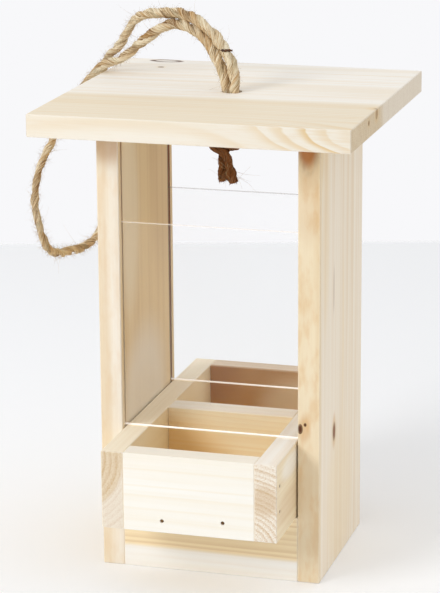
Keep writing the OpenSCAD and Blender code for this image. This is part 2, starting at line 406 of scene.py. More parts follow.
# %% [markdown]
# Three strands twist round each other. Each is a tube whose centre circles the rope's line. A screw
# modifier makes straight rope only, and this one has to go round bends with an even lay. Each strand
# is ridged by its yarns, and its skin carries what the jute finish reads: where a fibre lies, a slow
# change of tone and how deep the skin is in the lay.

# %% Twist strands round a line
STRANDS = 3
strand_sides = 16
strand_radius = 1.5
strand_offset = 0.9
lay_length = 30.0
lay_wander = 0.5
lay_waves = (14, 70)
strand_stray = 0.16
stray_waves = (9, 40)
girth_wander = 0.08
girth_waves = (4, 30)
tone_share = 0.5
tone_waves = (25, 90)
yarn_twist = 17.0
yarn_ridges = 7
ridge_depth = 0.11
ridge_starts = (0, 6)
skin_step = np.array((7.0, 0.0, 90.0))


def strand_tube(line, along, strand, swell, splay, draw):
    """Rings of one strand with what its skin carries: fibre coordinates, tone and depth in the lay."""
    side, up = carried_sides(line)
    turn = 2 * math.pi * (along / lay_length + strand / STRANDS)
    turn = turn + lay_wander * ripple(along, draw, *lay_waves)
    out = np.cos(turn)[:, None] * side + np.sin(turn)[:, None] * up
    stray = 1 + strand_stray * ripple(along, draw, *stray_waves)
    centre = line + (strand_offset * swell * splay * stray)[:, None] * out
    girth = strand_radius * swell * (1 + girth_wander * ripple(along, draw, *girth_waves))
    around, face = skin_directions(side, up, strand_sides)
    yarn = around[None, :] - (2 * math.pi * along / yarn_twist)[:, None]
    ridges = np.cos(yarn_ridges * yarn + draw.uniform(*ridge_starts))
    ridged = girth[:, None] * (1 + ridge_depth * ridges)
    rings = centre[:, None] + ridged[:, :, None] * face
    skin = np.stack([np.cos(yarn), np.sin(yarn), np.broadcast_to(along[:, None], yarn.shape)], axis=2)
    skin = skin + strand * skin_step
    hollow = (1 - (face * out[:, None]).sum(axis=2)) / 2
    tone = np.broadcast_to((tone_share * ripple(along, draw, *tone_waves))[:, None], hollow.shape)
    return rings, skin, tone, hollow


print("rope of", STRANDS, "strands, one turn every", lay_length, "mm")

# %% [markdown]
# The loop, the knot and the tails are all laid rope, so one function makes any of them as a single
# mesh of closed strands. The loop swells in its arch over the roof, where its lay has been worked
# loose, and is thinner where it hangs.

# %% Lay the hanging rope
swell_places = (0.0, 8.0, 14.0, 28.0, 75.0, 110.0, 180.0, 250.0, 290.0)
swell_shares = (0.93, 0.97, 1.2, 1.3, 1.28, 1.06, 0.86, 0.86, 1.0)


def link_piece(name, mesh, material, body):
    """A finished piece that rides on a body and carries its finish on its mesh."""
    mesh.materials.clear()
    mesh.materials.append(material)
    mesh.shade_smooth()
    piece = bpy.data.objects.new(name, mesh)
    bpy.context.scene.collection.objects.link(piece)
    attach(piece, body)
    return piece


def laid_rope(name, runs, material, seed):
    """One piece of laid rope; each run is a line, the length at its start, its swell and its splay."""
    draw = np.random.default_rng(seed)
    points, faces, skins, tones, hollows = [], [], [], [], []
    for line, start, swell, splay in runs:
        along = start + lengths_along(line)
        for strand in range(STRANDS):
            rings, skin, tone, hollow = strand_tube(line, along, strand, swell, splay, draw)
            faces += tube_faces(len(line), strand_sides, sum(len(p) for p in points))
            points.append(rings.reshape(-1, 3))
            skins.append(skin.reshape(-1, 3))
            tones.append(tone.ravel())
            hollows.append(hollow.ravel())
    mesh = bpy.data.meshes.new(name)
    mesh.from_pydata((np.vstack(points) * MM).tolist(), [], faces)
    carried = {"strand_skin": ("FLOAT_VECTOR", "vector", skins),
               "strand_tone": ("FLOAT", "value", tones),
               "strand_hollow": ("FLOAT", "value", hollows)}
    for label, (kind, field, values) in carried.items():
        layer = mesh.attributes.new(label, kind, "POINT")
        layer.data.foreach_set(field, np.concatenate(values).astype(np.float32).ravel())
    return link_piece(name, mesh, material, "frame")


from_end = np.minimum(rope_along, rope_length - rope_along)
rope_swell = np.interp(from_end, swell_places, swell_shares)
hanging_rope = laid_rope(
    "jute_loop", [(rope_line, 0.0, rope_swell, np.ones_like(rope_along))], clean_jute, seed=11)
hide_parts("hanging_rope")
print("rope mesh", len(hanging_rope.data.polygons), "faces")

# %% [markdown]
# Under the roof the two ends wind round each other into a stopper knot, and hang out of it as short
# tails. A real knot passes through itself, which shows nowhere, so two interlaced turns stand for it:
# each end winds down one side of a small barrel, draws in at the foot and runs on into its tail.

# %% Wind the ends round the knot
knot_low, knot_high = [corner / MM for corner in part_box("rope_knot")]
tail_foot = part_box("rope_tails")[0].z / MM
knot_middle = (knot_low.x + knot_high.x) / 2
wrap_inset = 2.7
wrap_radius = (knot_high.x - knot_low.x) / 2 - wrap_inset
wrap_foot_radius = 5.4
wrap_turns = 1.7
wrap_top = knot_high.z - wrap_inset
wrap_drop = 2 * rope_diameter * wrap_turns
wrap_points = 16
wrap_early = math.radians(50.0)
entry_share = 0.75
entry_lift = 0.6
tail_turn = math.radians(10.0)
tail_lean = np.array((0.09, 0.05))
tail_parting = 0.1
brush_room = 3.0
tail_length = knot_low.z - tail_foot - brush_room


def knotted_end(half):
    """The line of one rope end, from the hole, round the barrel and down its tail."""
    final = math.pi * (1 - half) - strand_turn - tail_turn
    share = np.linspace(0.0, 1.0, wrap_points)
    angle = final - wrap_early - 2 * math.pi * wrap_turns * (1 - share)
    radius = wrap_radius + (wrap_foot_radius - wrap_radius) * share ** 3
    height = wrap_top - wrap_drop * share
    wraps = np.stack([knot_middle + radius * np.cos(angle), radius * np.sin(angle), height], axis=1)
    foot = np.array((knot_middle + strand_apart * math.cos(final),
                     strand_apart * math.sin(final), knot_low.z))
    entry = wraps[0] * (entry_share, entry_share, 1.0)
    entry = entry + ((1 - entry_share) * knot_middle, 0.0, entry_lift)
    side = 2 * half - 1
    drop = tail_length * np.array((tail_lean[0] + side * tail_parting, tail_lean[1], -1.0))
    tail = [foot, foot + drop / 2, foot + drop]
    return even_steps(smooth_line(np.vstack([entry, wraps[1:], tail])))


end_lines = [knotted_end(half) for half in (0, 1)]
print("rope ends", [round(lengths_along(line)[-1]) for line in end_lines], "mm long")

# %% [markdown]
# Each end is cut in two where it leaves the knot, because the knot and the tails are pieces of their
# own. They share one point there, so no gap shows. Towards its cut tip a tail swells a little and its
# strands spread apart.

# %% Lay the stopper knot and its tails
fray_length = 9.0
fray_swell = 0.1
fray_splay = 0.35
tip_points = 6

knot_runs = []
tail_runs = []
for line in end_lines:
    along = lengths_along(line)
    opened = np.clip(1 - (along[-1] - along) / fray_length, 0, 1)
    swell = 1 + fray_swell * opened
    splay = 1 + fray_splay * opened
    in_tail = line[:, 2] < knot_low.z
    above = np.flatnonzero(~in_tail)
    below = np.append(above[-1], np.flatnonzero(in_tail))
    knot_runs.append((line[above], 0.0, swell[above], splay[above]))
    tail_runs.append((line[below], along[below[0]], swell[below], splay[below]))
stopper_knot = laid_rope("stopper_knot", knot_runs, handled_shaded_jute, seed=23)
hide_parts("rope_knot")
tail_ends = laid_rope("frayed_tails", tail_runs, handled_shaded_jute, seed=31)
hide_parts("rope_tails")
print("knot", len(stopper_knot.data.polygons), "faces, tails", len(tail_ends.data.polygons))

# %% [markdown]
# Jute sheds: short straws stand out all along the rope, a few long ones fly free, and the cut tails
# end in small brushes. One loose straw has no room for fibres of its own, so its finish only drifts
# between two colours from straw to straw.

# %% Finish the stray straws
STRAW_PALE = shade(226, 203, 160)
STRAW_BROWN = shade(150, 112, 66)
STRAW_DRIFT = (420.0, 420.0, 420.0)
STRAW_GRAIN = (2600.0, 2600.0, 2600.0)
pale_from = (0.35, 0.65)
straw_lift = 0.05 * MM


def stray_straw(name, pale, brown):
    material, wire = new_finish(name)
    place = wire.node("ShaderNodeTexCoord", out="Object")
    drift = place.noise(STRAW_DRIFT, detail=1.0)
    principled(wire, {
        "Base Color": drift.rise(*pale_from).tint(brown, pale),
        "Roughness": 0.6 + drift * 0.3,
        "Normal": place.noise(STRAW_GRAIN, detail=1.0).bump(strength=0.3, distance=straw_lift),
    })
    return material


pale_straw = stray_straw("pale_straw", STRAW_PALE, STRAW_BROWN)
# The tail brushes take the dark knot brown: partly handled jute, partly painted shade.
brown_straw = stray_straw("brown_straw", STRAW_BROWN, JUTE_SHADE)
print("straw finishes", pale_straw.name, brown_straw.name)

# %% [markdown]
# What repeats is work for Geometry Nodes: a tree takes a guide, such as a line or a few points, and
# sets many copies of one small shape on it. Every tree here starts with a guide and named sizes, and
# ends by making its copies real and giving them their finish. Running one leaves a plain mesh.

# %% Start, end and run a tree
def new_tree(name, sizes):
    """An empty tree, and the wire of the guide that it is run on."""
    tree = bpy.data.node_groups.new(name, "GeometryNodeTree")
    tree.interface.new_socket("Guide", in_out="INPUT", socket_type="NodeSocketGeometry")
    for label, kind in sizes.items():
        tree.interface.new_socket(label, in_out="INPUT", socket_type=kind)
    tree.interface.new_socket("Copies", in_out="OUTPUT", socket_type="NodeSocketGeometry")
    return tree, Wire(tree).node("NodeGroupInput", out="Guide")


def end_tree(guide, copies):
    """Makes the copies real, gives them their finish and sends them out of the tree."""
    real = guide.node("GeometryNodeRealizeInstances", None, {"Geometry": copies})
    dressed = guide.node("GeometryNodeSetMaterial", None,
                         {"Geometry": real, "Material": guide.also("Finish")})
    guide.node("NodeGroupOutput", None, {"Copies": dressed})


def run_tree(tree, name, points, edges, settings):
    """Runs a tree on a guide of points and edges, and returns the plain mesh that comes out."""
    base = bpy.data.meshes.new(name)
    base.from_pydata(np.asarray(points).tolist(), edges, [])
    carrier = bpy.data.objects.new(name, base)
    bpy.context.scene.collection.objects.link(carrier)
    modifier = carrier.modifiers.new("copies", "NODES")
    modifier.node_group = tree
    for item in tree.interface.items_tree:
        if item.in_out == "INPUT" and item.name in settings:
            modifier[item.identifier] = settings[item.name]
    depsgraph = bpy.context.evaluated_depsgraph_get()
    mesh = bpy.data.meshes.new_from_object(carrier.evaluated_get(depsgraph), depsgraph=depsgraph)
    bpy.data.objects.remove(carrier)
    return mesh


print("trees can be started, ended and run")

# %% [markdown]
# A stray straw is bent once, tapers to its tip and is far too thin to show more than three sides. It is
# drawn one unit tall in the tree itself, so that each copy can be stretched to a length of its own.

# %% Shape one straw
STRAW_SIZES = {
    "Straws": "NodeSocketInt", "Skin Radius": "NodeSocketFloat", "Shortest": "NodeSocketFloat",
    "Longest": "NodeSocketFloat", "Lean Back": "NodeSocketFloat", "Lean Forward": "NodeSocketFloat",
    "Bend": "NodeSocketFloat", "Thickness": "NodeSocketFloat", "Seed": "NodeSocketInt",
    "Finish": "NodeSocketMaterial",
}
straw_rings = 4
straw_sides = 3
straw_root = 1.05
straw_taper = 0.8
tip_curl = -0.6


def straw_shape(line):
    """One straw of unit height: a three-sided tube along a bent spine, thinner towards its tip."""
    bend = line.also("Bend")
    middle = line.node("ShaderNodeCombineXYZ", None, {"X": bend, "Z": 0.5})
    tip = line.node("ShaderNodeCombineXYZ", None, {"X": bend * tip_curl, "Z": 1.0})
    spine = line.node("GeometryNodeCurveQuadraticBezier", None,
                      {"Resolution": straw_rings, "Start": (0.0, 0.0, 0.0), "Middle": middle, "End": tip})
    outline = line.node("GeometryNodeCurvePrimitiveCircle", {"mode": "RADIUS"},
                        {"Resolution": straw_sides, "Radius": line.also("Thickness") * 0.5})
    taper = straw_root - line.node("GeometryNodeSplineParameter", out="Factor") * straw_taper
    return line.node("GeometryNodeCurveToMesh", None,
                     {"Curve": spine, "Profile Curve": outline, "Scale": taper, "Fill Caps": True})


print("a straw has", straw_rings * straw_sides, "sides and two caps")

# %% [markdown]
# The straw tree scatters points on a line, moves each to the rope's skin, and sets one straw there,
# leaning along the rope as far as chance takes it. Hair curves would look as good, but the model has to
# leave Blender as meshes.

# %% Build the tree that scatters straws
def straw_tree():
    tree, line = new_tree("stray_straws", STRAW_SIZES)
    seed = line.also("Seed")

    def chance(low, high, step):
        # Random Value too has sockets for each kind of value, here those for plain numbers.
        feeds = {2: low, 3: high, 8: seed + step}
        return line.node("FunctionNodeRandomValue", {"data_type": "FLOAT"}, feeds, 1)

    curve = line.node("GeometryNodeMeshToCurve", None, {"Mesh": line})
    points = line.node("GeometryNodeCurveToPoints", {"mode": "COUNT"},
                       {"Curve": curve, "Count": line.also("Straws")})
    tangent = points.also("Tangent")
    outward = line.node("ShaderNodeVectorRotate", {"rotation_type": "AXIS_ANGLE"},
                        {"Vector": points.also("Normal"), "Axis": tangent,
                         "Angle": chance(0.0, 2 * math.pi, 1)})
    lean = tangent.scaled(chance(line.also("Lean Back"), line.also("Lean Forward"), 2))
    on_skin = outward.scaled(line.also("Skin Radius"))
    placed = line.node("GeometryNodeSetPosition", None, {"Geometry": points, "Offset": on_skin})
    aimed = line.node("FunctionNodeAlignRotationToVector", {"axis": "Z"},
                      {"Vector": outward.vector("ADD", lean)})
    rolled = line.node("FunctionNodeAxisAngleToRotation", None,
                       {"Axis": (0.0, 0.0, 1.0), "Angle": chance(0.0, 2 * math.pi, 3)})
    aimed = line.node("FunctionNodeRotateRotation", {"rotation_space": "LOCAL"},
                      {"Rotation": aimed, "Rotate By": rolled})
    size = line.node("ShaderNodeCombineXYZ", None,
                     {"X": 1.0, "Y": 1.0, "Z": chance(line.also("Shortest"), line.also("Longest"), 4)})
    end_tree(line, line.node("GeometryNodeInstanceOnPoints", None,
                             {"Points": placed, "Instance": straw_shape(line), "Rotation": aimed,
                              "Scale": size}))
    return tree


stray_straws = straw_tree()
print("straw tree", len(stray_straws.nodes), "nodes")

# %% [markdown]
# The same tree grows everything that the rope sheds. Fuzz covers the loop, flyaways are few and long,
# wisps hang about the right tail, and each tail ends in a brush of thick short straws that point down.

# %% Grow straws along the rope, the knot and the tails
FUZZ = {"Straws": 3200, "Skin Radius": 2.1 * MM, "Shortest": 1.3 * MM, "Longest": 5.0 * MM,
        "Lean Back": -3.0, "Lean Forward": 3.0, "Bend": 0.7 * MM, "Thickness": 0.11 * MM,
        "Seed": 5, "Finish": pale_straw}
FLYAWAY = FUZZ | {"Straws": 26, "Shortest": 8.0 * MM, "Longest": 15.0 * MM, "Lean Back": -1.2,
                  "Lean Forward": 1.2, "Bend": 2.5 * MM, "Seed": 17}
WISP = FLYAWAY | {"Straws": 16, "Thickness": 0.16 * MM, "Seed": 30}
BRUSH = FUZZ | {"Straws": 140, "Skin Radius": 1.5 * MM, "Shortest": 0.8 * MM, "Longest": 2.0 * MM,
                "Lean Back": 1.0, "Lean Forward": 4.0, "Bend": 0.5 * MM, "Thickness": 0.3 * MM,
                "Seed": 41, "Finish": brown_straw}
bare_points = 20

free_rope = rope_line[bare_points:-bare_points]
for name, line, settings in (
    ("rope_fuzz", free_rope, FUZZ),
    ("rope_flyaways", free_rope, FLYAWAY),
    ("knot_wisps", tail_runs[1][0], WISP),
    ("left_tail_brush", end_lines[0][-tip_points:], BRUSH),
    ("right_tail_brush", end_lines[1][-tip_points:], BRUSH),
):
    steps = [(i, i + 1) for i in range(len(line) - 1)]
    straw_mesh = run_tree(stray_straws, name, line * MM, steps, settings)
    link_piece(name, straw_mesh, settings["Finish"], "frame")
    print(name, len(straw_mesh.polygons), "faces")

# %% [markdown]
# A scrap of dark bark is caught across the rope near the top of the arch. It is a bent stick a few
# millimetres long and rough all round, so it is a short tube with uneven rings.

# %% Catch a scrap of bark in the rope
BARK_PALE = shade(128, 84, 50)
BARK_DARK = shade(66, 38, 18)
bark_points = [(-6.2, 0.4, 277.0), (-4.2, -0.9, 276.8), (-2.0, -0.6, 277.1), (0.4, 0.2, 276.8)]
bark_steps = 6
bark_gap = 0.5
bark_sides = 9
bark_radius = 0.65
bark_wander = 0.2
bark_waves = (1.5, 6.0)
bark_roughness = 0.18
bark_seed = 3

bark_line = even_steps(smooth_line(bark_points, bark_steps), bark_gap)
bark_along = lengths_along(bark_line)
bark_draw = np.random.default_rng(bark_seed)
bark_girth = bark_radius * (1 + bark_wander * ripple(bark_along, bark_draw, *bark_waves))
bark_chips = 1 + bark_roughness * bark_draw.standard_normal((len(bark_line), bark_sides))
bark_face = skin_directions(*carried_sides(bark_line), bark_sides)[1]
bark_rings = bark_line[:, None] + (bark_girth[:, None] * bark_chips)[:, :, None] * bark_face
bark_mesh = bpy.data.meshes.new("bark_scrap")
bark_mesh.from_pydata((bark_rings.reshape(-1, 3) * MM).tolist(), [],
                      tube_faces(len(bark_line), bark_sides, 0))
bark_finish = stray_straw("dark_bark", BARK_PALE, BARK_DARK)
bark_scrap = link_piece("bark_scrap", bark_mesh, bark_finish, "frame")
print("bark scrap", round(bark_along[-1], 1), "mm long")

# %% [markdown]
# The rope is one cord of its real length. It leaves the roof by the hole and comes back to the same
# hole, and the knot, tails, bark and straws ride on the frame with it.

print("cord of", round(rope_length), "mm declared")

# %% [markdown]
# Pine shows its yearly rings wherever it is cut. A picture of wood would not match from face to face,
# so each board is cut from its own log instead: the finish knows where the pith runs, and its rings
# are cylinders round it. Flat faces then show broad figure, edges show lines and sawn ends show arcs,
# all joined up round every corner.

# %% Grow a log
GRAIN_TURNS = {"X": (0.0, 0.0, 0.0), "Y": (0.0, 0.0, 90.0), "Z": (0.0, -90.0, 0.0)}
LOG_DRIFT = (0.005, 0.018, 0.018)
LOG_TREMOR = (0.02, 0.2, 0.2)
noise_middle = (0.5, 0.5, 0.5)
tremor_sway = 0.9
uneven_pace = 0.11
uneven_years = 1.4
winter = 0.86


def log_turn(grain, lean):
    """Turns a log's own X axis onto a board's grain, then leans it by a few degrees."""
    base = Euler([math.radians(a) for a in GRAIN_TURNS[grain]]).to_matrix()
    tilt = Euler([math.radians(a) for a in lean]).to_matrix()
    return tilt @ base


def pith_distance(log, sway):
    """How far a place in the log is from its pith, which drifts and trembles along the trunk."""
    drift = log.noise(LOG_DRIFT, detail=1.0, out="Color").vector("SUBTRACT", noise_middle)
    tremor = log.noise(LOG_TREMOR, detail=2.0, out="Color").vector("SUBTRACT", noise_middle)
    grown = log.vector("ADD", drift.vector("MULTIPLY", (0.0, sway, sway)))
    grown = grown.vector("ADD", tremor.vector("MULTIPLY", (0.0, tremor_sway, tremor_sway)))
    return grown.vector("MULTIPLY", (0.0, 1.0, 1.0)).length()


def summer_wood(radius, ring, summer_from):
    """1 in the dark late part of each yearly ring; years differ in width and in vigour."""
    feeds = {"W": radius * uneven_pace, "Scale": 1.0}
    uneven = radius.node("ShaderNodeTexNoise", {"noise_dimensions": "1D"}, feeds)
    years = radius / ring + (uneven - 0.5) * uneven_years
    feeds = {"W": radius.math("FLOOR", years)}
    vigour = radius.node("ShaderNodeTexWhiteNoise", {"noise_dimensions": "1D"}, feeds)
    season = radius.math("FRACT", years)
    return season.rise(summer_from, winter) * (1.0 - season.rise(winter, 1.0)) * (0.3 + vigour * 0.7)


print("logs ready for grain along", ", ".join(GRAIN_TURNS))

# %% [markdown]
# A knot is a branch cut through: a dark rim, a brown middle and rings that swirl round it. A stain is
# a soft patch on one face, paler or browner than its board, for what one log can't give; some of these
# patches are wood colour, some painted light and some painted shade. Both could be painted on, but here
# each is an axis in the log and a distance from it, so a knot goes on into the wood.

# %% Describe knots and stains
UP = (0.0, 0.0, 1.0)
FORWARD = (0.0, -1.0, 0.0)
RIGHTWARD = (1.0, 0.0, 0.0)
LEFTWARD = (-1.0, 0.0, 0.0)
KNOT_FILL = shade(128, 74, 34)
KNOT_RIM_AND_SHADE = shade(90, 48, 18)
square_on = (0.5, 0.85)
mark_edge = (0.55, 1.2)
mark_halo = (0.9, 2.6)
rim_inside = 0.95
rim_outside = 0.97


def knot(at, branch, radius, stretch=1.5, fill=0.8, rim=0.7, line=0.3, deep=9.0, swirl=1.3, resin=0.0,
         halo=0.4, colour=KNOT_FILL, one_face=False):
    """A branch cut through: where it comes out, which way it grows and how dark it has turned."""
    return {"at": at, "branch": branch, "radius": radius, "stretch": stretch, "fill": fill, "rim": rim,
            "line": line, "deep": deep, "swirl": swirl, "resin": resin, "halo": halo, "colour": colour,
            "one_face": one_face}


def stain_and_painted_light(at, face, radius, stretch, fill, colour):
    """A soft patch on one face, paler or browner than the rest of its board; used for wood colour, for
    painted light and for painted shade.
    """
    return knot(at, face, radius, stretch, fill, rim=0.0, deep=radius, swirl=0.0, halo=0.0,
                colour=colour, one_face=True)


def mark_reach(log, turn, pith, mark):
    """Distance from a mark's axis as a share of its radius, stretched along the grain."""
    centre = turn.transposed() @ (Vector(mark["at"]) - Vector(pith))
    branch = turn.transposed() @ Vector(mark["branch"]).normalized()
    offset = log.vector("SUBTRACT", centre).vector("MULTIPLY", (1.0 / mark["stretch"], 1.0, 1.0))
    shorter = offset.reach(branch) * (1.0 - mark["radius"] / mark["deep"])
    feeds = {0: branch, "Scale": shorter}
    inward = log.node("ShaderNodeVectorMath", {"operation": "SCALE"}, feeds)
    return offset.vector("SUBTRACT", inward).length() / mark["radius"]


def marked(colour, mark, reach, facing, patchy, late):
    """A board's colour with one mark on it: a halo, then the middle, then a patchy rim."""
    if mark["halo"]:
        colour = ((1.0 - reach.rise(*mark_halo)) * mark["halo"]).tint(colour, late)
    middle = 1.0 - reach.rise(*mark_edge)
    if mark["one_face"]:
        middle = middle * facing.reach(mark["branch"]).rise(*square_on)
    colour = (middle * mark["fill"]).tint(colour, mark["colour"])
    if mark["rim"]:
        rim = reach.rise(rim_inside - mark["line"], rim_inside)
        rim = rim * (1.0 - reach.rise(rim_outside, rim_outside + mark["line"]))
        colour = (rim * (0.35 + patchy * 0.65) * mark["rim"]).tint(colour, KNOT_RIM_AND_SHADE)
    return colour


print("a plain knot reaches", knot((0.0, 0.0, 0.0), UP, 1.0)["deep"], "mm into its board")

# %% [markdown]
# Two marks are found from the boxes of the solids, so they stay with the boards. Sharp edges are
# sanded paler, from how a board was worked. The walls of the pane grooves in the uprights are painted
# brown as painted shade, most of all at the back and near the top under the roof.

# %% Find edges and grooves
groove_starts = (0.1 * MM, 0.5 * MM)
groove_ends = (4.5 * MM, 5.0 * MM)
groove_sides = (1.3 * MM, 1.7 * MM)
shade_rearward = (-10.0 * MM, 10.0 * MM)
shade_upward = (100.0 * MM, 240.0 * MM)
inner_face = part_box("right_upright")[0].x
groove_middle = sum(corner.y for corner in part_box("back_pane")) / 2


def arrises(place, node, width):
    """1 along the sharp edges of a board's box, falling to 0 within the given width."""
    low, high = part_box(node)
    gap = place.vector("SUBTRACT", (low + high) / 2).vector("ABSOLUTE")
    gap = place.node("ShaderNodeVectorMath", {"operation": "SUBTRACT"}, {0: (high - low) / 2, 1: gap})
    near = [1.0 - gap.axis(name).rise(0.0, width) for name in ("X", "Y", "Z")]
    return near[0] * near[1] + near[1] * near[2] + near[2] * near[0]


def groove_shade(place):
    """How much painted shade browns the walls of the pane grooves, and 0 everywhere else."""
    depth = abs(place.axis("X")) - inner_face
    off_middle = abs(abs(place.axis("Y")) - groove_middle)
    walls = depth.rise(*groove_starts) * (1.0 - depth.rise(*groove_ends))
    walls = walls * (1.0 - off_middle.rise(*groove_sides))
    rearward = place.axis("Y").rise(*shade_rearward)
    upward = place.axis("Z").rise(*shade_upward)
    return walls * (0.1 + rearward * 0.6 + upward * 0.3)


print("grooves", round(groove_middle / MM, 1), "mm before and behind the middle")

# %% [markdown]
# Planed pine is pale: cream sapwood, warmer heartwood and a honey-coloured line for every summer. Sawn
# ends are darker. Straws, pores, clouds and streaks all run along the grain, so each of these noises is
# drawn out in the log's own direction. Its three numbers count clouds in a millimetre.

# %% Mix the colours and the grain of pine
SAPWOOD = shade(251, 248, 240)
HEARTWOOD = shade(246, 233, 208)
LATEWOOD = shade(222, 190, 140)
END_PALE = shade(234, 219, 194)
END_DARK = shade(214, 188, 152)
MOTTLE = shade(226, 184, 126)
GROOVE_SHADE = shade(146, 62, 18)
MILK = shade(253, 251, 246)
WOOD_STRAWS = (0.02, 1.1, 1.1)
WOOD_PORES = (0.09, 6.0, 6.0)
WOOD_CLOUDS = (0.004, 0.045, 0.045)
WOOD_STREAKS = (0.003, 0.12, 0.12)
WOOD_BLOTCHES = (0.07, 0.2, 0.2)
END_SPECKS = (1.6, 1.6, 1.6)
RIM_PATCHES = (0.15, 0.4, 0.4)
clouds_from = (0.35, 0.75)
streaks_from = (0.42, 0.68)
straws_from = (0.45, 0.75)
pores_from = (0.6, 0.85)
blotches_from = (0.42, 0.7)
specks_from = (0.4, 0.72)
patches_from = (0.35, 0.6)
swirl_fall = -0.35
flat_on = (0.5, 0.8)
edge_width = 0.9 * MM
wood_lift = 0.12 * MM
print("straws of pine are about", round(1 / WOOD_STRAWS[1], 1), "mm wide")

# %% [markdown]
# All of that comes together in one finish for each board. Colour is laid on in this order: sapwood
# and heart, clouds and bands, rings and pores, then the painted shade in the pane grooves, the knots
# and stains, some of them painted light and some painted shade, and last the paler sanded edges. The
# same noises lift the grain a little and dull it.

# %% Cut a board from its log
def dress(node, material):
    """Gives a carried-over solid its finish."""
    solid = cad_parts[node]
    if not solid.material_slots:
        solid.data.materials.append(material)
    for held in solid.material_slots:
        held.material = material


def cut_board(node, grain, pith, lean=(0.0, 0.0, 0.0), ring=4.0, heart=0.0, blur=3.0, sway=5.0,
              summer_from=0.2, sap_rings=0.12, core_rings=0.45, bands=0.2, mottle=0.0, sap=SAPWOOD,
              core=HEARTWOOD, late=LATEWOOD, end_pale=END_PALE, end_dark=END_DARK, end_rings=0.4,
              whiten=0.0, whitened_face=FORWARD, grooved=False, marks=()):
    """Finishes one board: where its pith runs, how wide its rings are and where its heart ends."""
    material, wire = new_finish("pine_" + node)
    turn = log_turn(grain, lean)
    place = wire.node("ShaderNodeTexCoord", out="Object")
    facing = place.also("Normal")
    log = wire.node("ShaderNodeMapping", {"vector_type": "TEXTURE"},
                    {"Vector": place, "Location": Vector(pith) * MM,
                     "Rotation": turn.to_euler(), "Scale": (MM, MM, MM)})

    radius = pith_distance(log, sway)
    reaches = [mark_reach(log, turn, pith, mark) for mark in marks]
    resin = 0.0
    for reach, mark in zip(reaches, marks):
        if mark["swirl"]:
            swirl = wire.math("EXPONENT", reach * reach * swirl_fall)
            radius = radius + swirl * (mark["radius"] * mark["swirl"])
            resin = resin + swirl * mark["resin"]
    summer = summer_wood(radius, ring, summer_from)
    inner = 1.0 - radius.rise(heart - blur, heart + blur)
    ringed = sap_rings + inner * (core_rings - sap_rings) + resin

    straws = log.noise(WOOD_STRAWS, detail=3.0)
    pores = log.noise(WOOD_PORES, detail=2.0)
    colour = inner.tint(sap, core)
    colour = (log.noise(WOOD_CLOUDS, detail=2.0).rise(*clouds_from) * 0.35).tint(colour, core)
    # Faces turned one way are whitened towards MILK, by the given share.
    whitened = abs(facing.reach(whitened_face)).rise(*square_on)
    colour = (whitened * whiten).tint(colour, MILK)
    colour = (log.noise(WOOD_STREAKS, detail=2.0).rise(*streaks_from) * bands).tint(colour, late)
    colour = (summer * ringed).tint(colour, late)
    colour = (straws.rise(*straws_from) * (0.04 + ringed * 0.2)).tint(colour, late)
    colour = (pores.rise(*pores_from) * 0.08).tint(colour, late)
    if mottle:
        low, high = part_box(node)
        outward = turn.transposed() @ ((low + high) / 2 - Vector(pith) * MM)
        outward = turn @ Vector((0.0, outward.y, outward.z)).normalized()
        flat_sawn = abs(facing.reach(outward)).rise(*flat_on)
        blotches = log.noise(WOOD_BLOTCHES, detail=3.0).rise(*blotches_from)
        colour = (blotches * flat_sawn * mottle).tint(colour, MOTTLE)

    sawn = abs(facing.reach(turn @ Vector((1.0, 0.0, 0.0)))).rise(*square_on)
    specks = log.noise(END_SPECKS, detail=3.0)
    end = (summer * end_rings + specks.rise(*specks_from) * 0.6).tint(end_pale, end_dark)
    end = ((1.0 - inner) * 0.35).tint(end, MILK)
    colour = sawn.tint(colour, end)
    if grooved:
        # Painted shade in the pane grooves: brown walls, darker towards the back and the top.
        colour = groove_shade(place).tint(colour, GROOVE_SHADE)
    patchy = log.noise(RIM_PATCHES, detail=1.0).rise(*patches_from)
    for reach, mark in zip(reaches, marks):
        colour = marked(colour, mark, reach, facing, patchy, late)
    colour = (arrises(place, node, edge_width) * 0.25).tint(colour, MILK)

    lift = straws * 0.45 + pores * 0.35 + summer * 0.3 + sawn * specks * 0.8
    principled(wire, {
        "Base Color": colour,
        "Roughness": 0.6 + straws * 0.14 - summer * 0.08 + sawn * 0.14,
        "Normal": lift.bump(strength=0.35, distance=wood_lift),
        "Specular IOR Level": 0.35,
    })
    dress(node, material)
    print(node, "cut from its log, with", len(marks), "marks")


print("boards can be cut")

# %% [markdown]
# The roof is one wide board with its grain from left to right. Its front is oat-coloured heartwood,
# and behind that it is nearly white, with the line between them a little askew. Near the back left
# corner lie the thin rim of an oval knot and a dark spot, and two small brown knots show on the right
# end. The rings of the front edge bend round a branch that lay just past the right corner.

# %% Cut the roof
OAT = shade(240, 229, 208)
ROOF_LATEWOOD = shade(226, 190, 124)
ROOF_END_PALE = shade(226, 208, 178)
ROOF_END_DARK = shade(200, 172, 132)

cut_board(
    "roof", "X", pith=(0.0, -190.0, 222.0), lean=(0.0, 0.0, 2.4), ring=3.2, heart=173.5, blur=6.0,
    sap_rings=0.28, core_rings=0.25, bands=0.18, sap=MILK, core=OAT, late=ROOF_LATEWOOD,
    end_pale=ROOF_END_PALE, end_dark=ROOF_END_DARK, whiten=0.35, marks=[
        knot((-61.0, 80.0, 255.0), UP, 3.2, stretch=2.5, fill=0.0, rim=1.8, line=0.4, halo=0.0),
        knot((-58.4, 60.6, 255.0), UP, 1.1, stretch=1.4, fill=1.0, rim=1.0, colour=KNOT_RIM_AND_SHADE),
        knot((85.0, -28.0, 252.5), RIGHTWARD, 2.6, stretch=1.0, fill=0.5, rim=0.4, deep=3.0),
        knot((85.0, -46.0, 251.0), RIGHTWARD, 1.3, stretch=1.0, fill=0.9, rim=0.5, deep=3.0),
        knot((110.0, -86.0, 250.0), FORWARD, 12.0, stretch=3.4, fill=0.0, rim=0.0, deep=12.0,
             swirl=1.9, resin=0.9, halo=0.0),
    ])
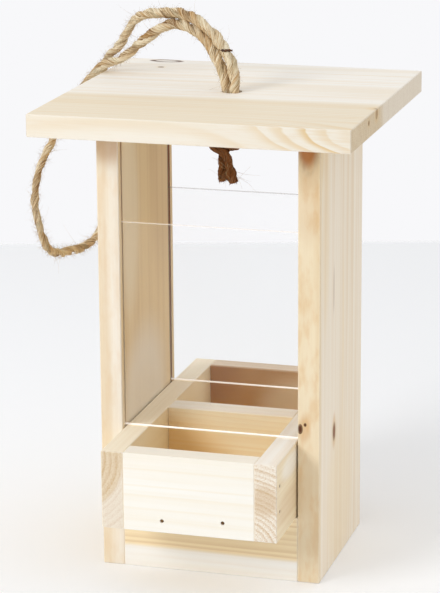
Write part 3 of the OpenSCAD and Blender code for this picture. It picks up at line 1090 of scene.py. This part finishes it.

# %% [markdown]
# The uprights stand with their grain up and down. Their broad faces are cut across the rings, which
# gives straight soft bands, and their narrow front edges lie along the rings, which gives cloudy
# figure. The right one carries a brown knot under the roof and a few small ones lower down. The left
# one carries painted shade: a tan patch at the top of its front edge for the roof's shadow, a darker
# back and top on its inner face and a dark strip along its rear groove. Its inner face also carries
# painted light, paler towards the front and the bottom.

# %% Cut the uprights
HONEY = shade(245, 229, 197)
PAINTED_SHADOW_AMBER = shade(188, 126, 40)
BISQUE = shade(246, 234, 215)
TOAST = shade(241, 216, 170)
RESIN = shade(180, 102, 12)
PAINTED_SHADE_RUSSET = shade(160, 94, 40)
PAINTED_LIGHT_FLAX = shade(253, 241, 214)
OCHRE = shade(212, 154, 78)
HAZEL = shade(190, 134, 66)

cut_board(
    "left_upright", "Z", pith=(-80.0, 120.0, 0.0), lean=(0.1, 0.1, 0.0), ring=9.0, heart=169.3,
    blur=1.2, sway=2.0, core=TOAST, sap_rings=0.1, core_rings=0.45, bands=0.35, mottle=0.2, whiten=0.45,
    grooved=True, marks=[
        # Painted shadow of the roof at the top of the front edge.
        stain_and_painted_light((-54.0, -47.5, 238.0), FORWARD, 12.0, 1.4, 0.44, PAINTED_SHADOW_AMBER),
        stain_and_painted_light((-60.5, -47.5, 95.0), FORWARD, 7.5, 14.0, 0.32, LATEWOOD),
        # Painted light along the front of the inner face.
        stain_and_painted_light((-46.5, -30.0, 195.0), RIGHTWARD, 18.0, 3.5, 0.55, PAINTED_LIGHT_FLAX),
        # Painted light on the lower inner face.
        stain_and_painted_light((-46.5, -8.0, 80.0), RIGHTWARD, 44.0, 1.1, 0.64, SAPWOOD),
        # Painted shade: a dark strip along the rear groove.
        stain_and_painted_light((-48.5, 40.4, 200.0), RIGHTWARD, 2.2, 80.0, 0.85, KNOT_RIM_AND_SHADE),
        # Painted shade on the back and top of the inner face.
        stain_and_painted_light((-46.5, 30.0, 215.0), RIGHTWARD, 26.0, 3.0, 0.16, PAINTED_SHADE_RUSSET),
    ])
cut_board(
    "right_upright", "Z", pith=(52.0, 160.0, 0.0), lean=(-0.3, 0.3, 0.0), ring=8.0, heart=206.0,
    blur=1.5, sway=3.0, sap=HONEY, core=BISQUE, sap_rings=0.3, core_rings=0.2, bands=0.35, mottle=0.45,
    grooved=True, marks=[
        knot((53.6, -47.5, 238.0), FORWARD, 5.4, stretch=2.3, fill=0.85, rim=0.2, line=0.5, colour=RESIN),
        stain_and_painted_light((54.0, -47.5, 206.0), FORWARD, 9.0, 2.4, 0.16, HAZEL),
        stain_and_painted_light((51.8, -47.5, 86.0), FORWARD, 3.6, 2.2, 0.4, OCHRE),
        knot((49.8, -47.5, 86.0), FORWARD, 1.3, stretch=1.9, fill=1.0, rim=1.0, colour=KNOT_RIM_AND_SHADE),
        knot((52.5, -47.5, 88.5), FORWARD, 0.7, stretch=1.3, fill=1.0, rim=1.0, colour=KNOT_RIM_AND_SHADE),
        stain_and_painted_light((60.5, -4.0, 34.0), RIGHTWARD, 32.0, 1.4, 0.32, TOAST),
        stain_and_painted_light((60.5, -36.0, 195.0), RIGHTWARD, 9.0, 7.0, 0.32, TOAST),
        stain_and_painted_light((60.5, 4.0, 120.0), RIGHTWARD, 2.6, 22.0, 0.3, TOAST),
        stain_and_painted_light((60.5, -15.8, 76.0), RIGHTWARD, 3.0, 3.6, 0.4, OCHRE),
        knot((60.5, -15.8, 75.5), RIGHTWARD, 2.9, stretch=1.6, fill=0.9, rim=0.5, line=0.4),
        stain_and_painted_light((60.5, -17.6, 155.0), RIGHTWARD, 1.6, 9.0, 0.28, KNOT_FILL),
    ])

# %% [markdown]
# The two rails at the foot are cut from the edge of the heartwood: honey-coloured above and white
# below. Each has its pith straight above its own middle.

# %% Cut the rails
SAND = shade(252, 232, 194)
rail_pith_height = 118.0

for rail in ("front_rail", "back_rail"):
    rail_middle = sum(corner.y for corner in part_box(rail)) / 2 / MM
    cut_board(rail, "X", pith=(0.0, rail_middle, rail_pith_height), lean=(0.0, 0.3, 0.0), ring=3.4,
              heart=106.5, blur=1.2, sway=1.2, bands=0.06, sap=MILK, core=SAND, sap_rings=0.05,
              core_rings=0.7)

# %% [markdown]
# The tray's boards come from several logs, so each has a pith of its own, and the arcs on the sawn
# ends of its two sides turn different ways. The back board is the brownest: brown heartwood on its
# inner face, painted darker still as painted shade for the back of the tray, with more painted shade
# on the left and painted light low on the right. The divider's front is painted orange on the left as
# painted shade. The top edges of the divider and the right side are whitened and nearly white.

# %% Cut the boards of the tray
GOLD = shade(253, 237, 203)
UMBER_AND_SHADE = shade(208, 160, 104)
BONE = shade(247, 239, 226)
PAINTED_SHADE_COPPER = shade(244, 190, 104)
TIMBER = shade(206, 174, 130)
LINEN = shade(228, 211, 184)
FRONT_LATEWOOD = shade(238, 217, 172)
DIVIDER_LATEWOOD = shade(240, 208, 152)
all_heart = 300.0

cut_board(
    "tray_front_board", "X", pith=(0.0, -70.0, -160.0), lean=(0.0, 0.2, 0.0), ring=7.0,
    heart=10.0, summer_from=0.62, sap_rings=0.22, bands=0.1, late=FRONT_LATEWOOD)
# Heartwood and painted shade: the back board's inner face is brown.
cut_board(
    "tray_back_board", "X", pith=(0.0, -60.0, 55.0), ring=5.0, heart=138.2, blur=0.8, sway=0.8,
    sap=BISQUE, core=UMBER_AND_SHADE, core_rings=0.4, bands=0.5, late=HAZEL, marks=[
        # Painted shade on the left of the inner face.
        stain_and_painted_light((-48.0, 75.0, 76.0), FORWARD, 26.0, 1.3, 0.5, PAINTED_SHADE_RUSSET),
        # Painted light low on the right of the inner face.
        stain_and_painted_light((20.0, 75.0, 56.0), FORWARD, 20.0, 1.4, 0.5, PAINTED_LIGHT_FLAX),
    ])
cut_board(
    "tray_divider", "X", pith=(0.0, 20.0, -60.0), lean=(0.0, 0.6, 0.0), ring=4.0,
    heart=all_heart, core=GOLD, late=DIVIDER_LATEWOOD, whiten=1.0, whitened_face=UP, marks=[
        # Painted shade: the left of the divider's front is warmer and darker.
        stain_and_painted_light((-40.0, -5.0, 40.0), FORWARD, 36.0, 1.3, 0.6, PAINTED_SHADE_COPPER),
    ])
cut_board(
    "tray_left_side", "Y", pith=(-67.0, 0.0, 74.0), ring=3.2, heart=31.2, blur=0.6, sway=0.6,
    sap=GOLD, core=GOLD, sap_rings=0.1, core_rings=0.1, bands=0.05, end_rings=0.6, end_pale=LINEN,
    end_dark=TIMBER, whiten=0.35, whitened_face=UP)
cut_board(
    "tray_right_side", "Y", pith=(30.0, 0.0, 30.0), lean=(0.2, 0.0, -0.3), ring=2.6,
    heart=all_heart, sway=1.0, core=HONEY, core_rings=0.25, end_rings=0.55, end_pale=BONE,
    end_dark=TIMBER, whiten=1.0, whitened_face=UP, marks=[
        stain_and_painted_light((41.0, -87.0, 58.5), FORWARD, 9.0, 1.2, 0.5, TIMBER),
        stain_and_painted_light((46.5, -64.0, 50.0), RIGHTWARD, 9.0, 3.0, 0.22, HAZEL),
        stain_and_painted_light((46.5, -58.0, 70.0), RIGHTWARD, 7.0, 3.0, 0.5, MILK),
    ])
cut_board(
    "tray_floor", "Y", pith=(10.0, 0.0, -20.0), lean=(0.3, 0.0, 0.4), ring=4.5,
    heart=all_heart, core=HONEY)

# %% [markdown]
# The panes are thin clear plastic. Face on they all but vanish: a faint veil, a few hairline
# scratches and more reflection at a slant. Their sawn edges are painted light: a white colour and a
# glow stand in for the light that runs inside the sheet, so the edges, and most of all the bottom
# ones, show as bright lines. The back pane's top edge, furthest from the lamp, is painted grey as
# painted shade.

# %% Clear the panes
CLEAR_TINT = shade(252, 252, 252)
SAWN_EDGE = shade(253, 250, 246)
SHADED_EDGE = shade(186, 186, 188)
PAINTED_EDGE_LIGHT = (0.3, 0.28, 0.26, 1.0)
NO_GLOW = (0.0, 0.0, 0.0, 1.0)
PANE_SCRATCHES = (900.0, 900.0, 60.0)
PANE_SMEARS = (26.0, 26.0, 18.0)
scratch_lines = (0.68, 0.76)
facing_up = (0.3, 0.7)
foot_line = (0.3 * MM, 0.6 * MM)


def clear_sheet(node, top_edge, top_painted_light):
    """Finishes one pane: nearly clear, with a top edge of its own and a bottom edge of painted light."""
    material, wire = new_finish("clear_" + node)
    place = wire.node("ShaderNodeTexCoord", out="Object")
    top = place.also("Normal").axis("Z").rise(*facing_up)
    foot = 1.0 - (place.axis("Z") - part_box(node)[0].z).rise(*foot_line)
    slant = wire.node("ShaderNodeLayerWeight", None, {"Blend": 0.25}, "Fresnel")
    scratches = place.noise(PANE_SCRATCHES, detail=2.0).rise(*scratch_lines)
    smears = place.noise(PANE_SMEARS, detail=3.0)
    veil = 0.005 + smears * 0.02 + scratches * 0.04 + slant * 0.2
    solid = wire.math("MAXIMUM", top * 0.45, foot * 0.9)
    # Painted light: the bottom edges, and the front pane's top edge, glow though they are no lamp.
    painted_light_mask = wire.math("MAXIMUM", top * top_painted_light, foot)
    principled(wire, {
        "Base Color": foot.tint(top.tint(CLEAR_TINT, top_edge), SAWN_EDGE),
        "Metallic": 1.0 - wire.math("MAXIMUM", top, foot),
        "Roughness": 0.3 + smears * 0.15,
        "Alpha": wire.math("MAXIMUM", veil, solid),
        "Emission Color": painted_light_mask.tint(NO_GLOW, PAINTED_EDGE_LIGHT),
        "Emission Strength": 1.0,
    })
    dress(node, material)
    print(node, "cleared")


# The front pane's top edge is painted white and glows; the back pane's is painted grey as painted shade.
clear_sheet("front_pane", SAWN_EDGE, 1.0)
clear_sheet("back_pane", SHADED_EDGE, 0.0)

# %% [markdown]
# The brads are plain drawn steel, punched just below the surface. The tray's heads are left bare, small
# and dull, with a brown bloom where the steel has begun to stain.

# %% Dull the brads
STEEL_BRIGHT = shade(140, 108, 74)
STEEL_STAIN = shade(84, 54, 28)
STEEL_BLOOM = (900.0, 900.0, 900.0)
STEEL_DENTS = (2400.0, 2400.0, 2400.0)
bright_steel_from = (0.35, 0.6)
steel_lift = 0.1 * MM


def brad_steel():
    material, wire = new_finish("dull_steel")
    place = wire.node("ShaderNodeTexCoord", out="Object")
    bloom = place.noise(STEEL_BLOOM, detail=3.0)
    principled(wire, {
        "Base Color": bloom.rise(*bright_steel_from).tint(STEEL_STAIN, STEEL_BRIGHT),
        "Metallic": 0.55 + bloom * 0.4,
        "Roughness": 0.65 - bloom * 0.25,
        "Normal": place.noise(STEEL_DENTS, detail=2.0).bump(strength=0.4, distance=steel_lift),
    })
    return material


bare_steel = brad_steel()
brads = [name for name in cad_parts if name.endswith("_nails")]
for name in brads:
    dress(name, bare_steel)
print("brads dressed:", ", ".join(brads))

# %% [markdown]
# The heads in the roof and the uprights are filled over and sanded flush, so that they don't show. The
# holes could be painted out, but a real plug hides their rims from every side. A small tree sets one on
# each head. It takes the finish of its board, and because that finish is cut from a log in space, the
# grain runs on across the plug.

# %% Plug the heads in the roof and the uprights
PLUG_SIZES = {"Sides": "NodeSocketInt", "Radius": "NodeSocketFloat", "Height": "NodeSocketFloat",
              "Outward": "NodeSocketVector", "Finish": "NodeSocketMaterial"}
plug_sides = 16
plug_radius = 1.35 * MM
plug_depth = 0.4 * MM
plug_proud = 0.02 * MM
corner_halves = ((0, 0), (0, 1), (1, 0), (1, 1))


def plug_tree():
    tree, heads = new_tree("flush_plugs", PLUG_SIZES)
    plug = heads.node("GeometryNodeMeshCylinder", None,
                      {"Vertices": heads.also("Sides"), "Radius": heads.also("Radius"),
                       "Depth": heads.also("Height")})
    aimed = heads.node("FunctionNodeAlignRotationToVector", {"axis": "Z"},
                       {"Vector": heads.also("Outward")})
    end_tree(heads, heads.node("GeometryNodeInstanceOnPoints", None,
                               {"Points": heads, "Instance": plug, "Rotation": aimed}))
    return tree


def brad_middles(nails, outward):
    """The middles of a node's four brads, one in each corner of its box as seen from outside."""
    points = np.array([vertex.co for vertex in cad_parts[nails].data.vertices])
    seen = points[:, np.flatnonzero(np.array(outward) == 0)]
    beyond = seen > (seen.min(axis=0) + seen.max(axis=0)) / 2
    each = [points[(beyond == half).all(axis=1)] for half in corner_halves]
    return np.array([(brad.min(axis=0) + brad.max(axis=0)) / 2 for brad in each])


def plugs(tree, nails, board, outward):
    """Plugs over the heads of one node's brads, flush with the face that they were driven into."""
    face = max(corner.dot(Vector(outward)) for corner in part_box(board))
    height = plug_depth + plug_proud
    middles = brad_middles(nails, outward)
    lift = face + plug_proud - height / 2 - middles @ outward
    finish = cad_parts[board].material_slots[0].material
    mesh = run_tree(tree, board + "_plugs", middles + lift[:, None] * outward, [],
                    {"Sides": plug_sides, "Radius": plug_radius, "Height": height,
                     "Outward": outward, "Finish": finish})
    piece = link_piece(board + "_plugs", mesh, finish, "frame")
    mesh.shade_flat()
    return piece


flush_plugs = plug_tree()
for nails, board, outward in (
    ("roof_nails", "roof", UP),
    ("left_rail_nails", "left_upright", LEFTWARD),
    ("right_rail_nails", "right_upright", RIGHTWARD),
):
    piece = plugs(flush_plugs, nails, board, outward)
    print(piece.name, len(piece.data.polygons), "faces")

# %% [markdown]
# The feeder stands on a white table whose far edge meets a white wall in a soft line. A real wall would
# hide the back of the feeder from other cameras, so the table is a disc that fades out at its rim and at
# that line, and the world behind it is white to the camera.

# %% Set the table
TABLE_WHITE = shade(252, 253, 255)
table_radius = 1.1
table_corners = 96
rim_fade = (0.85, 1.05)
wall_fade = (0.676, 0.69)

table_turns = [2 * math.pi * i / table_corners for i in range(table_corners)]
table_rim = [(table_radius * math.cos(turn), table_radius * math.sin(turn), 0.0) for turn in table_turns]
table_mesh = bpy.data.meshes.new("white_table")
table_mesh.from_pydata(table_rim, [], [range(table_corners)])
table = bpy.data.objects.new("white_table", table_mesh)
bpy.context.scene.collection.objects.link(table)
table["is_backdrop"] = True

table_finish, wire = new_finish("white_table")
place = wire.node("ShaderNodeTexCoord", out="Object")
at_rim = place.length().rise(*rim_fade)
at_wall = place.reach(-direction(camera_azimuth, 0.0)).rise(*wall_fade)
matt = wire.node("ShaderNodeBsdfDiffuse", None, {"Color": TABLE_WHITE})
gone = wire.node("ShaderNodeBsdfTransparent")
surface = wire.node("ShaderNodeMixShader", None,
                    {0: wire.math("MAXIMUM", at_rim, at_wall), 1: matt, 2: gone})
wire.node("ShaderNodeOutputMaterial", None, {"Surface": surface})
table_mesh.materials.append(table_finish)
print("table", 2 * table_radius, "m across")

# %% [markdown]
# The light is that of a bright room. It comes from the world, held at a plain level and brightest
# overhead and on the right, where a window would be. The camera, mirrors and clear sheets see plain
# white instead, so the light can have its own shape without showing.

# %% Light the room
ROOM_WHITE = shade(248, 248, 250)
WHITE_LIGHT = (1.0, 1.0, 1.0, 1.0)
horizon_light = 0.26
zenith_light = 0.9
window_light = 0.56
window_turn = math.radians(40.0)

world = bpy.data.worlds.new("white_room")
world.use_nodes = True
world.node_tree.nodes.clear()
bpy.context.scene.world = world
sky = Wire(world.node_tree)
path = sky.node("ShaderNodeLightPath", out="Is Camera Ray")
seen = sky.math("MAXIMUM", path, path.also("Is Glossy Ray"))
seen = sky.math("MAXIMUM", seen, path.also("Is Transmission Ray"))
toward = sky.node("ShaderNodeTexCoord")
overhead = (zenith_light - horizon_light) * sky.math("MAXIMUM", toward.axis("Z"), 0.0)
window = Vector((math.cos(window_turn), math.sin(window_turn), 0.0))
beside = window_light * sky.math("MAXIMUM", toward.reach(window), 0.0)
fill = sky.node("ShaderNodeBackground", None,
                {"Color": WHITE_LIGHT, "Strength": horizon_light + overhead + beside})
shown = sky.node("ShaderNodeBackground", None, {"Color": ROOM_WHITE, "Strength": 1.0})
room = sky.node("ShaderNodeMixShader", None, {0: seen, 1: fill, 2: shown})
sky.node("ShaderNodeOutputWorld", None, {"Surface": room})
bpy.context.scene.view_settings.view_transform = "Standard"
print("room light from", horizon_light, "at the horizon to", zenith_light, "overhead")

# %% [markdown]
# One broad lamp low on the left front stands for a second window. It brings out the fronts of the boards
# and draws a soft shadow towards the back right. A sun lamp would draw hard edges.

# %% Add the lamp
lamp_azimuth = math.radians(-33.0)
lamp_elevation = math.radians(25.0)
lamp_distance = 1.5
lamp_width = 0.6
lamp_watts = 9.1

lamp_data = bpy.data.lights.new("broad_lamp", "AREA")
lamp_data.shape = "DISK"
lamp_data.size = lamp_width
lamp_data.energy = lamp_watts
to_lamp = direction(lamp_azimuth, lamp_elevation)
lamp = bpy.data.objects.new("broad_lamp", lamp_data)
lamp.location = camera_target + to_lamp * lamp_distance
lamp.rotation_euler = to_lamp.to_track_quat("Z", "Y").to_euler()
bpy.context.scene.collection.objects.link(lamp)
print("lamp", lamp_distance, "m away,", lamp_width, "m across")

# %% [markdown]
# Last, the two boxes are printed: the one that the solids came with and the one that the dressed
# feeder fills.

# %% Write the sizes and finish
boxes = {"cad": cad_box, "visual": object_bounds()}
for name, (low, high) in boxes.items():
    print(name, "box", [round(side / MM, 1) for side in high - low], "mm")
